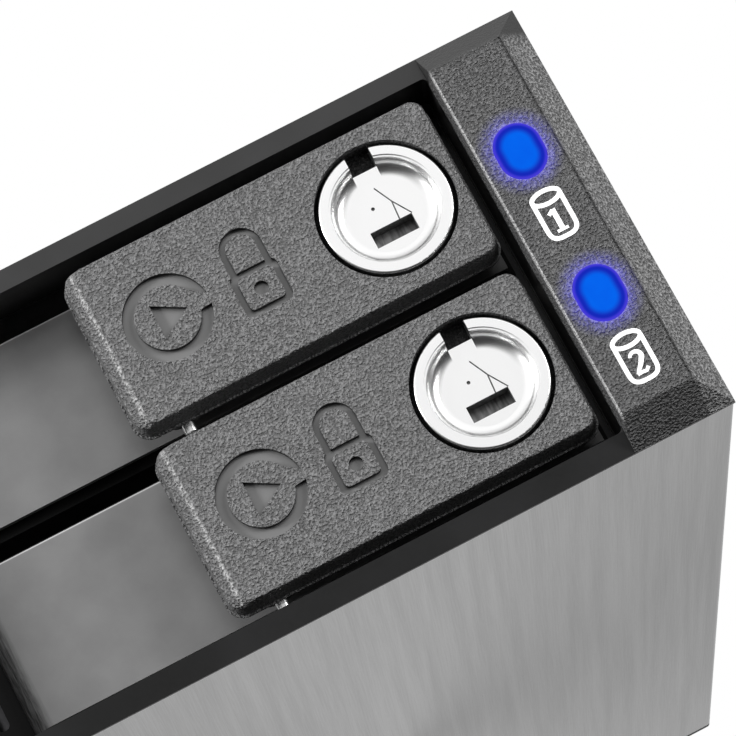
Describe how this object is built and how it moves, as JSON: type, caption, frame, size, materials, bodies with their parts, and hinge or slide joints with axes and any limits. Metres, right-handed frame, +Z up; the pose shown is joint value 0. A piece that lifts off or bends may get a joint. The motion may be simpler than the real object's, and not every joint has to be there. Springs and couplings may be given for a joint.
{
  "type": "network attached storage",
  "caption": "Flat desktop storage box: brushed aluminium sleeve, black front with lever-latched drive trays and locks, raised strip with blue lamps, fan and sockets behind.",
  "frame": {"origin": "middle of the box's footprint, on the flat underside", "axes": "+Z up, the front with its trays looks along -Y, +X towards the indicator strip"},
  "size_m": [0.134, 0.252, 0.0735],
  "materials": {
    "brushed_aluminium": "brushed along the depth, clear anodised",
    "smooth_black_plastic": "smooth satin moulding",
    "textured_black_plastic": "spark-eroded leather-like grain",
    "blue_lens": "clear tinted acrylic, lit blue",
    "circuit_board": "green solder mask",
    "electronic_parts": "moulded epoxy",
    "zinc_sheet": "zinc-plated sheet steel",
    "guide_plastic": "moulded black",
    "tray_plastic": "moulded black",
    "satin_grey_plate": "satin dark grey coating",
    "steel_pin": "bright steel",
    "chrome_lock": "bright nickel-chrome plating",
    "screw_steel": "nickel plated",
    "cast_drive_body": "die-cast, lightly blasted",
    "drive_lid_steel": "stainless pressing",
    "socket_shell": "tin-plated shell",
    "contact_gold": "gold flash",
    "control_black_plastic": "fine moulded black",
    "painted_rear_panel": "fine black powder coat",
    "guard_wire": "black dipped wire"
  },
  "bodies": {
    "housing": {"outer_shell": "brushed_aluminium", "front_bezel": "smooth_black_plastic", "indicator_strip": "textured_black_plastic", "led_lens_1": "blue_lens", "led_lens_2": "blue_lens", "led_board": "circuit_board", "led_chips": "electronic_parts", "base_pan": "zinc_sheet", "cage_wall": "zinc_sheet", "top_plate": "zinc_sheet", "bay_divider": "zinc_sheet", "guide_left": "guide_plastic", "guide_right": "guide_plastic", "backplane": "circuit_board", "drive_sockets": "guide_plastic", "main_board": "circuit_board", "board_standoffs": "zinc_sheet", "board_screws": "screw_steel", "board_chips": "electronic_parts", "heat_sink": "cast_drive_body", "network_jack": "socket_shell", "jack_contacts": "contact_gold", "usb_sockets": "socket_shell", "power_jack": "control_black_plastic", "switch_housing": "control_black_plastic", "reset_switch": "guide_plastic", "rear_panel": "painted_rear_panel", "panel_screws": "screw_steel", "fan_frame": "control_black_plastic", "fan_guard": "guard_wire", "fan_screws": "screw_steel"},
    "fan_rotor": {"fan_rotor": "control_black_plastic"},
    "power_rocker": {"power_rocker": "control_black_plastic"},
    "reset_button": {"reset_button": "control_black_plastic"},
    "tray_1": {"tray_carrier_1": "tray_plastic", "tray_face_1": "satin_grey_plate", "hinge_pin_1": "steel_pin", "lever_spring_1": "steel_pin", "lock_keeper_1": "steel_pin", "drive_case_1": "cast_drive_body", "drive_lid_1": "drive_lid_steel", "drive_board_1": "circuit_board", "drive_screws_1": "screw_steel"},
    "lever_1": {"lever_1": "textured_black_plastic"},
    "lock_1": {"lock_cup_1": "chrome_lock", "lock_cam_1": "steel_pin", "lock_screw_1": "screw_steel"},
    "tray_2": {"tray_carrier_2": "tray_plastic", "tray_face_2": "satin_grey_plate", "hinge_pin_2": "steel_pin", "lever_spring_2": "steel_pin", "lock_keeper_2": "steel_pin", "drive_case_2": "cast_drive_body", "drive_lid_2": "drive_lid_steel", "drive_board_2": "circuit_board", "drive_screws_2": "screw_steel"},
    "lever_2": {"lever_2": "textured_black_plastic"},
    "lock_2": {"lock_cup_2": "chrome_lock", "lock_cam_2": "steel_pin", "lock_screw_2": "screw_steel"}
  },
  "joints": [
    {"name": "tray_1_slide", "type": "slide", "parent": "housing", "child": "tray_1", "axis": [0, -1, 0], "range_m": [0, 0.14]},
    {"name": "lever_1_open", "type": "hinge", "parent": "tray_1", "child": "lever_1", "pos_m": [-0.0089, -0.1165, 0.05287], "axis": [0, 0, -1], "range_deg": [0, 70]},
    {"name": "lock_1_turn", "type": "hinge", "parent": "lever_1", "child": "lock_1", "pos_m": [0.0339, -0.1228, 0.05287], "axis": [0, 1, 0], "range_deg": [0, 90]},
    {"name": "tray_2_slide", "type": "slide", "parent": "housing", "child": "tray_2", "axis": [0, -1, 0], "range_m": [0, 0.14]},
    {"name": "lever_2_open", "type": "hinge", "parent": "tray_2", "child": "lever_2", "pos_m": [-0.0089, -0.1165, 0.02063], "axis": [0, 0, -1], "range_deg": [0, 70]},
    {"name": "lock_2_turn", "type": "hinge", "parent": "lever_2", "child": "lock_2", "pos_m": [0.0339, -0.1228, 0.02063], "axis": [0, 1, 0], "range_deg": [0, 90]},
    {"name": "fan_spin", "type": "hinge", "parent": "housing", "child": "fan_rotor", "pos_m": [-0.03, 0.1131, 0.03675], "axis": [0, 1, 0], "continuous": true},
    {"name": "power_rocker_tilt", "type": "hinge", "parent": "housing", "child": "power_rocker", "pos_m": [0.024, 0.1197, 0.04475], "axis": [-1, 0, 0], "range_deg": [0, 16]},
    {"name": "reset_button_press", "type": "slide", "parent": "housing", "child": "reset_button", "axis": [0, -1, 0], "range_m": [0, 0.0006], "stiffness_N_per_m": 600, "springref_m": -0.0004}
  ]
}
